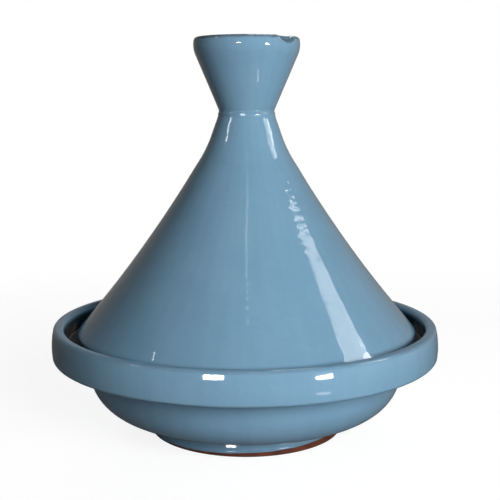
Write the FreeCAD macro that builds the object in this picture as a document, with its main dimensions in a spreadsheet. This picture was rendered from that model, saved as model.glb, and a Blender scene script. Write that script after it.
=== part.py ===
"""Tagine pot: a glazed earthenware cooking dish with a tall conical lid.

Frame: millimetres, +Z up, origin on the table under the centre of the foot ring, -Y towards
the cook, +X to the cook's right. Everything round is turned about the Z axis, as a potter
throws it on the wheel.

Seven made pieces:
  dish_bowl          thrown bowl, with its stepped-out upright rim and the ledge for the lid
  dish_foot_ring     clay ring joined under the bowl, left bare where the pot stands
  dish_glaze         fired coat of glass over the bowl and the upper part of the foot ring
  lid_cone           thrown hollow cone, closed at the top, with a thick upright lower edge
  lid_knob           flared cup joined on top of the cone, with a round notch in its rim
  lid_glaze_outside  fired coat of glass over the cone's outside and all of the knob
  lid_glaze_inside   fired coat of glass inside the cone; the flat underside of the lid's edge,
                     which it stands on in the kiln, is bare and parts the two coats
"""
import FreeCAD, Part
import Sketcher
import math
import os

# Driving dimensions in millimetres (degrees where it says so): sheet alias, size, meaning.
# Sizes are those of the bare clay. The glaze adds its own thickness outside them.
DIMENSIONS = [
    ("glaze_coat", 0.5, "thickness of the glaze"),
    ("foot_radius", 72.8, "foot ring, outside"),
    ("foot_width", 12.0, "foot ring, width of its wall"),
    ("foot_height", 10.0, "foot ring, height"),
    ("foot_round", 1.2, "foot ring, rounding of the edges that it stands on"),
    ("glaze_line", 4.0, "lower end of the glaze on the foot ring"),
    ("base_radius", 77.0, "underside of the bowl, where its slope starts"),
    ("turn_radius", 99.4, "outside of the bowl, where the slope meets the round side"),
    ("turn_height", 18.7, "height of that place"),
    ("side_radius", 121.8, "outside of the upright part of the bowl's side"),
    ("side_height", 50.5, "height where the side becomes upright"),
    ("side_curve", 34.0, "radius of the round side, seen in section"),
    ("wall", 8.0, "bowl, thickness of its side and floor"),
    ("inner_turn_radius", 96.7, "inside of the bowl, where the slope meets the round side"),
    ("inner_turn_height", 26.1, "height of that place"),
    ("floor_radius", 75.0, "flat part of the bowl's floor"),
    ("step_height", 57.3, "underside of the step, where it leaves the bowl's side"),
    ("step_round", 4.0, "rounding under the step and at the inner edge of the ledge"),
    ("rim_foot_radius", 148.9, "rim, outside, at its lower edge"),
    ("rim_foot_height", 61.8, "height of the rim's lower edge"),
    ("rim_foot_round", 1.6, "rounding of the rim's lower edge"),
    ("rim_bulge", 60.0, "radius of the rim's outward curve, seen in section"),
    ("rim_top_radius", 147.6, "rim, outside, at its top"),
    ("rim_inner_radius", 140.5, "rim, inside"),
    ("rim_height", 84.8, "top of the rim"),
    ("rim_round", 2.7, "rounding of the rim's upper edges and of the ledge's corner"),
    ("ledge_height", 69.0, "ledge that the lid sits on"),
    ("ledge_inner_radius", 119.0, "inner edge of the ledge"),
    ("ledge_drop", 5.0, "fall of the slope from the ledge to the inside of the bowl"),
    ("seat_gap", 0.3, "clear height between the glazed ledge and the lid"),
    ("lid_radius", 131.1, "lid, greatest outside radius"),
    ("lid_edge_width", 9.6, "lid, width of its lower edge"),
    ("lid_edge_height", 9.2, "lid, height of its upright lower edge"),
    ("lid_edge_round", 2.5, "rounding where the lower edge meets the cone"),
    ("cone_wall", 8.0, "cone, thickness of its wall, measured level"),
    ("cone_curve", 1000.0, "radius of the cone's slight inward curve"),
    ("cone_top_radius", 38.1, "upper end of the long cone"),
    ("cone_top_height", 206.9, "height of that place"),
    ("shoulder_curve", 105.0, "radius of the curve from the cone to the neck"),
    ("neck_radius", 27.8, "lower end of the neck"),
    ("neck_height", 226.3, "height of that place"),
    ("joint_radius", 22.0, "flat top of the cone, where the knob is joined"),
    ("joint_height", 242.5, "height of that place"),
    ("dome_radius", 6.0, "flat middle of the end of the hollow inside the neck"),
    ("dome_height", 235.0, "height of that place"),
    ("dome_curve", 18.0, "radius of the curve round that place, seen in section"),
    ("waist_radius", 20.3, "knob, narrowest place"),
    ("waist_height", 248.0, "height of that place"),
    ("waist_round", 6.0, "rounding of the knob's waist"),
    ("flare_radius", 38.3, "upper end of the knob's straight flare"),
    ("flare_height", 290.3, "height of that place"),
    ("knob_curve", 19.0, "radius of the knob's outward curve below its rim"),
    ("knob_top_radius", 39.1, "knob, outside, at its rim"),
    ("knob_height", 302.8, "top of the knob's rim"),
    ("knob_round", 2.4, "rounding of the knob's rim"),
    ("cup_radius", 33.9, "hollow of the knob, at the rim"),
    ("cup_floor_radius", 14.0, "hollow of the knob, at its floor"),
    ("cup_floor_height", 257.5, "height of that floor"),
    ("cup_round", 6.0, "rounding of that floor's edge"),
    ("notch_curve", 11.0, "radius of the round notch in the knob's rim"),
    ("notch_depth", 4.0, "depth of the notch"),
    ("notch_turn", 47.0, "place of the notch, in degrees from the front to the right"),
]
SIZE = {alias: size for alias, size, meaning in DIMENSIONS}

doc = FreeCAD.newDocument("Tagine")
sheet = doc.addObject("Spreadsheet::Sheet", "Sizes")
for row, (alias, size, meaning) in enumerate(DIMENSIONS, start=1):
    sheet.set(f"A{row}", meaning)
    sheet.set(f"B{row}", str(size))
    sheet.setAlias(f"B{row}", alias)
doc.recompute()


# ---- sums of dimensions, such as "foot_radius - foot_width" ----

def amount(dimension_sum):
    """The number that a sum of dimensions stands for."""
    total = 0.0
    sign = 1
    for word in dimension_sum.split():
        if word in ("+", "-"):
            sign = 1 if word == "+" else -1
        else:
            total += sign * SIZE[word]
    return total


def bind(item, place, dimension_sum):
    """Ties one property of a document object to a sum of cells in the sheet."""
    words = dimension_sum.split()
    item.setExpression(place, " ".join(w if w in ("+", "-") else f"Sizes.{w}" for w in words))


# ---- corners and edges of an outline, in the plane of radius and height ----

AXIS = "axis"
GROUND = "ground"
START = 1
END = 2
UPRIGHT_AXIS = -2
LEVEL_AXIS = -1
ORIGIN = (-1, 1)


def corner(radius, height, curve=None, hollow=False, rounding=None):
    """A corner of an outline, which runs with the clay on its left. With a curve, the edge that
    arrives here is an arc of that radius, and it bulges out of the clay unless it is hollow."""
    across = 0.0 if radius == AXIS else amount(radius)
    up = 0.0 if height == GROUND else amount(height)
    return {
        "radius": radius,
        "height": height,
        "point": FreeCAD.Vector(across, up, 0),
        "curve": curve,
        "bend": -1 if hollow else 1,
        "rounding": rounding,
    }


def left_of(way):
    """A direction turned a quarter to the left."""
    return FreeCAD.Vector(-way.y, way.x, 0)


def draw_arc(sketch, middle, start, end, bend):
    """Adds an arc, and gives its number and which of its ends are its start and end. A sketch
    keeps every arc anticlockwise, so one that bends to the right is kept from end to start."""
    spokes = [start - middle, end - middle][::bend]
    angles = [math.atan2(spoke.y, spoke.x) for spoke in spokes]
    circle = Part.Circle(middle, FreeCAD.Vector(0, 0, 1), spokes[0].Length)
    number = sketch.addGeometry(Part.ArcOfCircle(circle, *angles))
    return (number, START, END) if bend == 1 else (number, END, START)


class Edge:
    """The straight or round edge between two corners."""

    def __init__(self, before, after):
        self.start = before["point"]
        self.end = after["point"]
        self.way = (self.end - self.start).normalize()
        self.curve = after["curve"]
        self.bend = after["bend"]
        self.middle = None
        if self.curve:
            half = (self.end - self.start).Length / 2
            aside = left_of(self.way) * self.bend * math.sqrt(amount(self.curve) ** 2 - half ** 2)
            self.middle = (self.start + self.end) * 0.5 + aside

    def way_at(self, point):
        """The direction in which the edge runs at a point of it."""
        if self.middle:
            return left_of((point - self.middle).normalize()) * self.bend
        return self.way

    def nearest(self, point):
        """The point of the edge's whole line or circle that is nearest to a point."""
        if self.middle:
            return self.middle + (point - self.middle).normalize() * amount(self.curve)
        return self.start + self.way * (point - self.start).dot(self.way)

    def draw(self, sketch):
        """Adds the edge, and gives its number and which of its ends are its start and end."""
        if self.middle:
            return draw_arc(sketch, self.middle, self.start, self.end, self.bend)
        return sketch.addGeometry(Part.LineSegment(self.start, self.end)), START, END


def shorten(before, after, place):
    """Takes two edges back from their corner to make room for its rounding. Gives the middle of
    the rounding and the side to which it bends."""
    point = place["point"]
    way_in = before.way_at(point)
    way_out = after.way_at(point)
    angle = math.atan2(way_in.cross(way_out).z, way_in.dot(way_out))
    bend = 1 if angle > 0 else -1
    radius = amount(place["rounding"])
    reach = radius * math.tan(abs(angle) / 2)
    before.end = before.nearest(point - way_in * reach)
    after.start = after.nearest(point + way_out * reach)
    return before.end + left_of(before.way_at(before.end)) * radius * bend, bend


# ---- sketches and what is turned from them ----

def add_size(sketch, dimension_sum, kind, *where):
    """Adds a sized constraint to a sketch and ties it to the sheet."""
    number = sketch.addConstraint(Sketcher.Constraint(kind, *where, amount(dimension_sum)))
    bind(sketch, f"Constraints[{number}]", dimension_sum)


def hold(sketch, place, *point):
    """Holds one point of a sketch at a corner's radius and height."""
    if place["radius"] == AXIS:
        sketch.addConstraint(Sketcher.Constraint("PointOnObject", *point, UPRIGHT_AXIS))
    else:
        add_size(sketch, place["radius"], "DistanceX", *ORIGIN, *point)
    if place["height"] == GROUND:
        sketch.addConstraint(Sketcher.Constraint("PointOnObject", *point, LEVEL_AXIS))
    else:
        add_size(sketch, place["height"], "DistanceY", *ORIGIN, *point)


def draw_outline(sketch, corners, closed):
    """Draws the outline through the corners, rounded where they say so, with every size tied to
    the sheet. An open outline starts at its first corner and ends at its last."""
    edges = [Edge(corners[index - 1], corners[index]) for index in range(len(corners))]
    joints = list(zip(edges, edges[1:] + edges[:1], corners))
    if not closed:
        edges = edges[1:]
        joints = joints[1:-1]
    arcs = {}
    for before, after, place in joints:
        if place["rounding"]:
            arcs[place["point"].x, place["point"].y] = shorten(before, after, place)
    drawn = {edge: edge.draw(sketch) for edge in edges}

    for edge in edges:
        if edge.curve:
            add_size(sketch, edge.curve, "Radius", drawn[edge][0])
    for before, after, place in joints:
        number, _, end = drawn[before]
        next_number, next_start, _ = drawn[after]
        if not place["rounding"]:
            meeting = Sketcher.Constraint("Coincident", number, end, next_number, next_start)
            sketch.addConstraint(meeting)
            hold(sketch, place, number, end)
            continue
        middle, bend = arcs[place["point"].x, place["point"].y]
        arc, arc_start, arc_end = draw_arc(sketch, middle, before.end, after.start, bend)
        add_size(sketch, place["rounding"], "Radius", arc)
        sketch.addConstraint(Sketcher.Constraint("Tangent", number, end, arc, arc_start))
        sketch.addConstraint(Sketcher.Constraint("Tangent", arc, arc_end, next_number, next_start))
        sharp = sketch.addGeometry(Part.Point(place["point"]), True)
        for side in (number, next_number):
            sketch.addConstraint(Sketcher.Constraint("PointOnObject", sharp, START, side))
        hold(sketch, place, sharp, START)
    if not closed:
        first, first_start, _ = drawn[edges[0]]
        last, _, last_end = drawn[edges[-1]]
        hold(sketch, corners[0], first, first_start)
        hold(sketch, corners[-1], last, last_end)


def turn_clay(label, corners):
    """A body turned about the Z axis from a closed outline."""
    body = doc.addObject("PartDesign::Body", label)
    sketch = body.newObject("Sketcher::SketchObject", f"{label}_outline")
    plane = next(item for item in body.Origin.OriginFeatures if item.Role == "XZ_Plane")
    sketch.AttachmentSupport = [(plane, "")]
    sketch.MapMode = "FlatFace"
    draw_outline(sketch, corners, closed=True)
    doc.recompute()
    turned = body.newObject("PartDesign::Revolution", f"{label}_turned")
    turned.Profile = (sketch, [""])
    turned.ReferenceAxis = (sketch, ["V_Axis"])
    turned.Angle = 360
    doc.recompute()
    return body


def turn_glaze(label, corners):
    """An even coat on the clay surface that an open outline describes. The strip between the
    outline and the same line moved off the clay is turned about the Z axis."""
    surface = doc.addObject("Sketcher::SketchObject", f"{label}_surface")
    surface.Placement.Rotation = FreeCAD.Rotation(FreeCAD.Vector(1, 0, 0), 90)
    draw_outline(surface, corners, closed=False)
    doc.recompute()
    strip = doc.addObject("Part::Offset2D", f"{label}_strip")
    strip.Source = surface
    strip.Mode = "Skin"
    strip.Join = "Arc"
    strip.Fill = True
    bind(strip, "Value", "- glaze_coat")
    doc.recompute()
    coat = doc.addObject("Part::Revolution", label)
    coat.Source = strip
    coat.Axis = (0, 0, 1)
    coat.Angle = 360
    coat.Solid = True
    doc.recompute()
    return coat


def combine(kind, label, base, tool):
    """A boolean of two objects: Part::Cut, Part::Common or Part::Fuse."""
    result = doc.addObject(kind, label)
    result.Base = base
    result.Tool = tool
    doc.recompute()
    return result


# ---- outlines of the dish ----

FOOT_INNER = "foot_radius - foot_width"
BOWL_INNER = "side_radius - wall"
FLOOR_HEIGHT = "foot_height + wall"

FOOT_OUTLINE = [
    corner(FOOT_INNER, GROUND, rounding="foot_round"),
    corner("foot_radius", GROUND, rounding="foot_round"),
    corner("foot_radius", "foot_height"),
    corner(FOOT_INNER, "foot_height"),
]
BOWL_SURFACE = [
    corner("base_radius", "foot_height"),
    corner("turn_radius", "turn_height"),
    corner("side_radius", "side_height", curve="side_curve"),
    corner("side_radius", "step_height", rounding="step_round"),
    corner("rim_foot_radius", "rim_foot_height", rounding="rim_foot_round"),
    corner("rim_top_radius", "rim_height", curve="rim_bulge", rounding="rim_round"),
    corner("rim_inner_radius", "rim_height", rounding="rim_round"),
    corner("rim_inner_radius", "ledge_height", rounding="rim_round"),
    corner("ledge_inner_radius", "ledge_height", rounding="step_round"),
    corner(BOWL_INNER, "ledge_height - ledge_drop"),
    corner(BOWL_INNER, "side_height"),
    corner("inner_turn_radius", "inner_turn_height", curve="side_curve - wall", hollow=True),
    corner("floor_radius", FLOOR_HEIGHT),
    corner(AXIS, FLOOR_HEIGHT),
]
BOWL_OUTLINE = [corner(AXIS, "foot_height")] + BOWL_SURFACE
GLAZED_DISH_SURFACE = [
    corner("foot_radius", "glaze_line"),
    corner("foot_radius", "foot_height"),
] + BOWL_SURFACE


# ---- outlines of the lid ----

SEAT_HEIGHT = "ledge_height + glaze_coat + seat_gap"
EDGE_TOP_HEIGHT = f"{SEAT_HEIGHT} + lid_edge_height"
EDGE_INNER = "lid_radius - lid_edge_width"

CONE_OUTSIDE = [
    corner("lid_radius", SEAT_HEIGHT),
    corner("lid_radius", EDGE_TOP_HEIGHT, rounding="lid_edge_round"),
    corner("cone_top_radius", "cone_top_height", curve="cone_curve", hollow=True),
    corner("neck_radius", "neck_height", curve="shoulder_curve", hollow=True),
    corner("joint_radius", "joint_height"),
]
CONE_INSIDE = [
    corner(AXIS, "dome_height"),
    corner("dome_radius", "dome_height"),
    corner("neck_radius - cone_wall", "neck_height", curve="dome_curve", hollow=True),
    corner("cone_top_radius - cone_wall", "cone_top_height", curve="shoulder_curve"),
    corner(EDGE_INNER, f"{EDGE_TOP_HEIGHT} + lid_edge_round", curve="cone_curve"),
    corner(EDGE_INNER, SEAT_HEIGHT),
]
CUP_SURFACE = [
    corner("waist_radius", "waist_height", rounding="waist_round"),
    corner("flare_radius", "flare_height"),
    corner("knob_top_radius", "knob_height", curve="knob_curve", rounding="knob_round"),
    corner("cup_radius", "knob_height", rounding="knob_round"),
    corner("cup_floor_radius", "cup_floor_height", rounding="cup_round"),
    corner(AXIS, "cup_floor_height"),
]
CONE_OUTLINE = CONE_OUTSIDE + [corner(AXIS, "joint_height")] + CONE_INSIDE
CUP_OUTLINE = [corner(AXIS, "joint_height"), corner("joint_radius", "joint_height")] + CUP_SURFACE


# ---- the notch in the knob ----

def make_bar(name, radius):
    """A level round bar from the axis out across the knob's rim. Bars of all radii share one
    middle line, so a wider one leaves room for the glaze that lines the notch."""
    turn = math.radians(SIZE["notch_turn"])
    outwards = FreeCAD.Vector(math.sin(turn), -math.cos(turn), 0)
    bar = doc.addObject("Part::Cylinder", name)
    bar.Placement.Rotation = FreeCAD.Rotation(FreeCAD.Vector(0, 0, 1), outwards)
    bind(bar, "Radius", radius)
    bind(bar, "Height", "knob_top_radius + knob_curve")
    bind(bar, "Placement.Base.z", "knob_height + glaze_coat - notch_depth + notch_curve")
    return bar


def make_lid_glaze(cup, clay_bar):
    """Coat over the outside of the cone and the knob, cut through by the notch, and joined to
    the thin lining of the notch."""
    glaze_bar = make_bar("glazed_notch", "notch_curve")
    skin = turn_glaze("lid_skin", CONE_OUTSIDE + CUP_SURFACE)
    open_skin = combine("Part::Cut", "notched_skin", skin, glaze_bar)
    tube = combine("Part::Cut", "notch_tube", clay_bar, glaze_bar)
    lining = combine("Part::Common", "notch_lining", cup, tube)
    return combine("Part::Fuse", "lid_glaze_outside", open_skin, lining)


# ---- the pieces ----

bowl = turn_clay("dish_bowl", BOWL_OUTLINE)
foot_ring = turn_clay("dish_foot_ring", FOOT_OUTLINE)
dish_glaze = turn_glaze("dish_glaze", GLAZED_DISH_SURFACE)

cone = turn_clay("lid_cone", CONE_OUTLINE)
cup = turn_clay("knob_cup", CUP_OUTLINE)
clay_bar = make_bar("pressed_notch", "notch_curve + glaze_coat")
knob = combine("Part::Cut", "lid_knob", cup, clay_bar)
outside_glaze = make_lid_glaze(cup, clay_bar)
inside_glaze = turn_glaze("lid_glaze_inside", CONE_INSIDE)

SUB_PARTS = [bowl, foot_ring, dish_glaze, cone, knob, outside_glaze, inside_glaze]

for item in doc.Objects:
    if "Invalid" in item.State or "Error" in item.State:
        raise RuntimeError(f"{item.Label} did not compute: {item.State}")
for piece in SUB_PARTS:
    shape = piece.Shape
    if shape.isNull() or not shape.isValid() or len(shape.Solids) != 1:
        raise RuntimeError(f"{piece.Label} is not one valid solid")

os.makedirs("parts", exist_ok=True)
for piece in SUB_PARTS:
    piece.Shape.exportStep(f"parts/{piece.Label}.step")
    print(f"{piece.Label}: {piece.Shape.Volume / 1000:.1f} cubic centimetres")
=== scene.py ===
# %% [markdown]
# # A blue-glazed tagine, turned in Geometry Nodes
# A tagine is a cooking pot in two halves: a heavy dish on a foot ring, and a tall cone that
# sits inside the dish's rim and is lifted by a cup-shaped knob. Both halves are red clay,
# thrown on a wheel and dipped in a glossy blue-grey glaze. This lesson loads the measured
# model, reads the profile of each piece from it, spins the profiles up again with the small
# unevenness of hand work, and then makes the glaze, the bare clay and a soft studio light.

# %% Load the measured model
import math

import bmesh
import bpy
from mathutils import Matrix, Vector


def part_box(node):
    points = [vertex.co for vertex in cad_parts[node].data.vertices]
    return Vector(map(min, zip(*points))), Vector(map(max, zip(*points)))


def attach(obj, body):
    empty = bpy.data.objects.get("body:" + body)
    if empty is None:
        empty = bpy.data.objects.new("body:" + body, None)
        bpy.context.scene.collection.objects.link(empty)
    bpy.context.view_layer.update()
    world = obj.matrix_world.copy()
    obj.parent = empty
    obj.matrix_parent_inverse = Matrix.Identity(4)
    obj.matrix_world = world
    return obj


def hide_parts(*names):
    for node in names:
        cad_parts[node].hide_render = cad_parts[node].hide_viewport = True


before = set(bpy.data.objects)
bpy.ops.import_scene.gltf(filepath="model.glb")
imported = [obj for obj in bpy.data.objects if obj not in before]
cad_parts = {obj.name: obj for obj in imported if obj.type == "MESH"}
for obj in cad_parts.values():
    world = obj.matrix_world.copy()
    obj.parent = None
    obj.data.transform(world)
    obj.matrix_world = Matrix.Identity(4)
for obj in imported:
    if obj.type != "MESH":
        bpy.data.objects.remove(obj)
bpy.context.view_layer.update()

MM = 0.001

# %% [markdown]
# ## Where the pieces are
# Every height below comes from the measured model, so nothing has to be fitted by eye. The
# dish's rim and foot, the lid's lower edge and the knob's top are the marks that the potter's
# tool leaves, and the unevenness added later starts and ends at them.

# %% Heights that the later steps use
rim_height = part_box("dish_glaze")[1].z
foot_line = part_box("dish_glaze")[0].z
foot_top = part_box("dish_foot_ring")[1].z
lid_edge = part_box("lid_cone")[0].z
knob_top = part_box("lid_glaze_outside")[1].z
knob_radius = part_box("lid_knob")[1].x
joint_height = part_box("lid_cone")[1].z
rim_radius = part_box("dish_glaze")[1].x
print(f"foot line {foot_line / MM:.1f} mm, rim {rim_height / MM:.1f} mm, "
      f"lid edge {lid_edge / MM:.1f} mm, knob top {knob_top / MM:.1f} mm")

# %% [markdown]
# ## Reading a turned piece's profile
# A piece that was turned on a wheel is known completely by its profile, the outline of its
# wall when it is cut through the middle. The measured model is made of loose triangles, so a
# copy is welded first. The vertices that lie in the half plane of +X, and the edges between
# them, are then exactly that outline, and it is walked from one end to the other. A piece
# that reaches the wheel's axis has an open outline, which gets a point on the axis at each
# end. A ring, such as the foot, has a closed one.

# %% Read the profile of a piece
WELD = 1e-6


def walk(start, neighbours):
    """The vertices in order along the outline, from start until it ends or comes round."""
    path = [start]
    while True:
        onward = [v for v in neighbours[path[-1]] if v not in path[-2:]]
        if not onward or onward[0] == start:
            return path
        path.append(onward[0])


def read_profile(node_name):
    """A turned piece's outline as (radius, height) vectors, anticlockwise, and if it is a loop."""
    welded = bmesh.new()
    welded.from_mesh(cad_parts[node_name].data)
    bmesh.ops.remove_doubles(welded, verts=welded.verts, dist=WELD)
    welded.verts.index_update()
    cut = [v for v in welded.verts if abs(v.co.y) < 2 * WELD and v.co.x > -WELD]
    in_cut = set(cut)
    neighbours = {
        v: [e.other_vert(v) for e in v.link_edges if e.other_vert(v) in in_cut] for v in cut
    }
    ends = [v for v in cut if len(neighbours[v]) == 1]
    start = min(ends or cut, key=lambda v: (v.co.z, v.co.x))
    outline = [Vector((v.co.x, v.co.z)) for v in walk(start, neighbours)]
    welded.free()
    if ends:
        outline.insert(0, Vector((0, outline[0].y)))
        outline.append(Vector((0, outline[-1].y)))
    area = sum(a.cross(b) for a, b in zip(outline, outline[1:] + outline[:1]))
    if area < 0:
        outline.reverse()
    return outline, not ends


for node_name in sorted(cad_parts):
    outline, loop = read_profile(node_name)
    print(f"{node_name}: {len(outline)} points, {'a loop' if loop else 'open'}")

# %% [markdown]
# ## Smoothing the profile
# The outline comes as short straight runs, and a glossy glaze shows every one of them as a
# facet. Between each two points a Hermite curve is laid, which leaves and arrives along the
# outline's own direction, so arcs become round again. A real corner keeps its edge, and a
# long straight side stays straight. The side that shows gets points about every 2 mm, close
# enough for throwing rings, and every half millimetre where a thin ridge or the glaze line
# lies. The side of a coat that lies against the clay needs far fewer.

# %% Lay smooth curves through the outline
CORNER_TURN = math.radians(35)
LONGER_BY = 3.0
FINEST_TURN = math.radians(7)


def direction_at(before, after):
    """The outline's direction at a point between two runs, or None at a real corner."""
    if before.angle(after) > CORNER_TURN:
        return None
    if before.length > LONGER_BY * after.length:
        return before.normalized()
    if after.length > LONGER_BY * before.length:
        return after.normalized()
    return (before.normalized() * after.length + after.normalized() * before.length).normalized()


def mirrored(direction, run):
    """The direction at a run's other end if the run were one arc."""
    along = run.normalized()
    return 2 * direction.dot(along) * along - direction


def smooth_run(start, end, leave, arrive, spacing):
    """Points from start up to, and not including, end."""
    run = end - start
    if leave is None and arrive is None:
        leave = arrive = run.normalized()
    leave = leave or mirrored(arrive, run)
    arrive = arrive or mirrored(leave, run)
    turn = leave.angle(arrive, 0.0)
    steps = max(1, math.ceil(run.length / spacing), math.ceil(turn / FINEST_TURN))
    points = []
    for step in range(steps):
        t = step / steps
        points.append(
            (2 * t**3 - 3 * t**2 + 1) * start
            + (3 * t**2 - 2 * t**3) * end
            + (t**3 - 2 * t**2 + t) * run.length * leave
            + (t**3 - t**2) * run.length * arrive
        )
    return points


def smooth_profile(outline, loop, spacings):
    """The outline with curves between its points. spacings has one number for each run."""
    count = len(outline)
    runs = [outline[(i + 1) % count] - outline[i] for i in range(count if loop else count - 1)]
    directions = []
    for i in range(count):
        inside = loop or 0 < i < count - 1
        directions.append(direction_at(runs[i - 1], runs[i]) if inside else None)
    points = []
    origins = []
    for i in range(len(runs)):
        j = (i + 1) % count
        new = smooth_run(outline[i], outline[j], directions[i], directions[j], spacings[i])
        points += new
        origins += [i] * len(new)
    if not loop:
        points.append(outline[-1])
        origins.append(len(runs) - 1)
    return points, origins


# %% [markdown]
# ## What the profile tells the glaze
# Melted glaze runs off sharp convex edges, where it stays thin and the dark clay dims it, and
# it gathers in hollows, where it is thick and dark. The glaze below also paints shade into
# hollows, and shade and dark reflection onto the lid's edges. So each point of the profile
# also stores its bend: positive where the wall is convex, negative where it is hollow. The
# darkening in hollows, partly pooled glaze and partly painted shade, spreads wider than a
# thin edge, so a second number, "hollow", keeps only the hollow part of a bend that is
# blurred over a longer stretch. A coat of glaze has two sides. The coat's outline is split
# where it is lowest, and the half that is seen is marked, because only that half gets
# throwing rings.

# %% Measure bend, length and the side that is seen
BEND_UNIT = 4 * MM
BEND_BLUR = 1.4 * MM
HOLLOW_BLUR = 5.0 * MM
BLUR_REACH = 24
SEEN_SPACING = 1.9 * MM
HIDDEN_SPACING = 7 * MM
DETAIL_SPACING = 0.5 * MM
DETAIL_REACH = 7 * MM


def seen_runs(outline, shows):
    """For each run of a coat's outline, if it shows. shows names the coat's upper or lower side."""
    lowest = min(range(len(outline)), key=lambda i: (outline[i].y, -outline[i].x))
    first_half_shows = (outline[0].y > outline[-1].y) == (shows == "upper")
    return [(i < lowest) == first_half_shows for i in range(len(outline) - 1)]


def lengths_along(points):
    """The distance along the profile to each point."""
    along = [0.0]
    for a, b in zip(points, points[1:]):
        along.append(along[-1] + (b - a).length)
    return along


def measure_bend(points, loop, along, blur):
    """How convex (+) or hollow (-) the profile is at each point, blurred along it."""
    count = len(points)
    raw = []
    for i in range(count):
        before = points[i] - points[i - 1]
        after = points[(i + 1) % count] - points[i]
        if not loop and i in (0, count - 1):
            raw.append((0.0, 0.0))
            continue
        turn = math.atan2(before.cross(after), before.dot(after))
        raw.append((turn, (before.length + after.length) / 2))
    bends = []
    for i in range(count):
        turned = 0.0
        weight = 0.0
        for j in range(max(0, i - BLUR_REACH), min(count, i + BLUR_REACH + 1)):
            share = math.exp(-(((along[i] - along[j]) / blur) ** 2))
            turned += share * raw[j][0]
            weight += share * raw[j][1]
        bends.append(max(-1.0, min(1.0, BEND_UNIT * turned / weight)) if weight else 0.0)
    return bends


def spacing_at(height, seen):
    """How far apart the points lie: closest at the joint of the knob and at the glaze line."""
    if not seen:
        return HIDDEN_SPACING
    near_detail = abs(height - joint_height) < DETAIL_REACH or height < foot_top
    return DETAIL_SPACING if near_detail else SEEN_SPACING


def profile_mesh(name, node_name, shows=None):
    """A mesh of the smoothed profile's points, with the numbers that the tree below reads."""
    outline, loop = read_profile(node_name)
    runs = len(outline) if loop else len(outline) - 1
    seen = seen_runs(outline, shows) if shows else [True] * runs
    middles = [(outline[i].y + outline[(i + 1) % len(outline)].y) / 2 for i in range(runs)]
    spacings = [spacing_at(middle, s) for middle, s in zip(middles, seen)]
    points, origins = smooth_profile(outline, loop, spacings)
    along = lengths_along(points)
    mesh = bpy.data.meshes.new(name)
    mesh.from_pydata([(p.x, 0, p.y) for p in points], [], [])
    numbers = {
        "bend": measure_bend(points, loop, along, BEND_BLUR),
        "hollow": [max(0.0, -bend) for bend in measure_bend(points, loop, along, HOLLOW_BLUR)],
        "along": along,
        "seen": [1.0 if seen[i] and shows else 0.0 for i in origins],
    }
    for label, values in numbers.items():
        mesh.attributes.new(label, "FLOAT", "POINT").data.foreach_set("value", values)
    return mesh, loop


# %% [markdown]
# ## Small helpers for node trees
# Geometry and shader trees are built from the same kind of node, so one helper adds a node,
# sets its options and either links or fills its inputs. Two more write sums and vector sums
# the way that they read on paper.

# %% Node helpers
def add(tree, kind, inputs=None, **options):
    """A new node. inputs maps a socket's name or number to a value or to another socket."""
    node = tree.nodes.new(kind)
    for option, value in options.items():
        setattr(node, option, value)
    for key, value in (inputs or {}).items():
        if isinstance(value, bpy.types.NodeSocket):
            tree.links.new(value, node.inputs[key])
        else:
            node.inputs[key].default_value = value
    return node


def calc(tree, operation, *values):
    """One sum on numbers, such as calc(tree, "MULTIPLY", a, b)."""
    return add(tree, "ShaderNodeMath", dict(enumerate(values)), operation=operation).outputs[0]


def calc_vector(tree, operation, *values):
    """One sum on vectors."""
    node = add(tree, "ShaderNodeVectorMath", dict(enumerate(values)), operation=operation)
    return node.outputs["Value" if operation in ("DOT_PRODUCT", "LENGTH") else "Vector"]


def scaled(tree, vector, factor):
    """A vector times a number."""
    node = add(tree, "ShaderNodeVectorMath", {0: vector, "Scale": factor}, operation="SCALE")
    return node.outputs["Vector"]


def ramp(tree, value, low, high, at_low=0.0, at_high=1.0):
    """A soft step: at_low below low, at_high above high."""
    node = add(tree, "ShaderNodeMapRange", {0: value, 1: low, 2: high, 3: at_low, 4: at_high},
               interpolation_type="SMOOTHSTEP")
    return node.outputs[0]


def named_number(tree, label):
    """A number that each point of the geometry carries."""
    inputs = {"Name": label}
    return add(tree, "GeometryNodeInputNamedAttribute", inputs, data_type="FLOAT").outputs[0]


def named_vector(tree, label):
    """A vector that each point of the geometry carries."""
    inputs = {"Name": label}
    return add(tree, "GeometryNodeInputNamedAttribute", inputs, data_type="FLOAT_VECTOR").outputs[0]


def noise(tree, vector, scale, detail=2.0, output="Fac"):
    """Soft random blobs, about 1 / scale metres across."""
    inputs = {"Vector": vector, "Scale": scale, "Detail": detail}
    return add(tree, "ShaderNodeTexNoise", inputs).outputs[output]


# %% [markdown]
# ## The wheel: a profile spun round by Geometry Nodes
# Spin or the Screw modifier could turn the profile too. A node tree was chosen because the
# rule stays open to change and the hand's unevenness can be added in the same tree. A grid
# has one row for each profile point and one column for each step round the wheel. Each of
# its points looks up its radius and height in the profile and takes its angle from its
# column. The last column falls on the first and is merged with it, and so are the points on
# the axis.

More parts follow.
